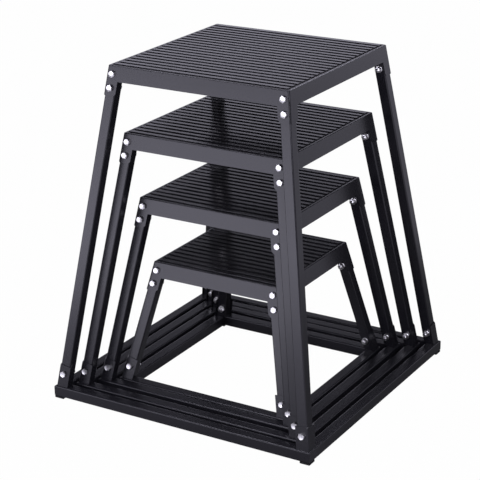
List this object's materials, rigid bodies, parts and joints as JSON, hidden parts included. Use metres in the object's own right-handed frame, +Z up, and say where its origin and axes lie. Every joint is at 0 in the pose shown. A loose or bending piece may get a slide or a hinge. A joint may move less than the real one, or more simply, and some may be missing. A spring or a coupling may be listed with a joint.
{
  "type": "nested plyo box set",
  "caption": "Nested set of square steel plyo boxes: leaning tube legs bolted between ribbed rubber-topped decks and mitred tube bases, each taller box lifting off the next.",
  "frame": {"origin": "on the floor, under the middle of the tallest box's base frame", "axes": "+Z up, +X to the right along the bolted front faces, +Y to the back"},
  "size_m": [0.655, 0.655, 0.762],
  "materials": {
    "frame_steel": "black satin powder coat",
    "mat_rubber": "ribbed black rubber",
    "foot_rubber": "plain black rubber",
    "fastener_zinc": "bright zinc plate"
  },
  "bodies": {
    "box_12in": {"deck_tray_12in": "frame_steel", "deck_braces_12in": "frame_steel", "grip_mat_12in": "mat_rubber", "leg_front_left_12in": "frame_steel", "leg_front_right_12in": "frame_steel", "leg_back_left_12in": "frame_steel", "leg_back_right_12in": "frame_steel", "base_frame_12in": "frame_steel", "base_brackets_12in": "frame_steel", "feet_12in": "foot_rubber", "bolts_12in": "fastener_zinc", "washers_12in": "fastener_zinc", "nuts_12in": "fastener_zinc"},
    "box_18in": {"deck_tray_18in": "frame_steel", "deck_braces_18in": "frame_steel", "grip_mat_18in": "mat_rubber", "leg_front_left_18in": "frame_steel", "leg_front_right_18in": "frame_steel", "leg_back_left_18in": "frame_steel", "leg_back_right_18in": "frame_steel", "base_frame_18in": "frame_steel", "base_brackets_18in": "frame_steel", "feet_18in": "foot_rubber", "bolts_18in": "fastener_zinc", "washers_18in": "fastener_zinc", "nuts_18in": "fastener_zinc"},
    "box_24in": {"deck_tray_24in": "frame_steel", "deck_braces_24in": "frame_steel", "grip_mat_24in": "mat_rubber", "leg_front_left_24in": "frame_steel", "leg_front_right_24in": "frame_steel", "leg_back_left_24in": "frame_steel", "leg_back_right_24in": "frame_steel", "base_frame_24in": "frame_steel", "base_brackets_24in": "frame_steel", "feet_24in": "foot_rubber", "bolts_24in": "fastener_zinc", "washers_24in": "fastener_zinc", "nuts_24in": "fastener_zinc"},
    "box_30in": {"deck_tray_30in": "frame_steel", "deck_braces_30in": "frame_steel", "grip_mat_30in": "mat_rubber", "leg_front_left_30in": "frame_steel", "leg_front_right_30in": "frame_steel", "leg_back_left_30in": "frame_steel", "leg_back_right_30in": "frame_steel", "base_frame_30in": "frame_steel", "base_brackets_30in": "frame_steel", "feet_30in": "foot_rubber", "bolts_30in": "fastener_zinc", "washers_30in": "fastener_zinc", "nuts_30in": "fastener_zinc"}
  },
  "joints": [
    {"name": "lift_18in", "type": "slide", "parent": "box_12in", "child": "box_18in", "axis": [0, 0, 1], "range_m": [0, 0.32]},
    {"name": "lift_24in", "type": "slide", "parent": "box_18in", "child": "box_24in", "axis": [0, 0, 1], "range_m": [0, 0.472]},
    {"name": "lift_30in", "type": "slide", "parent": "box_24in", "child": "box_30in", "axis": [0, 0, 1], "range_m": [0, 0.625]}
  ]
}
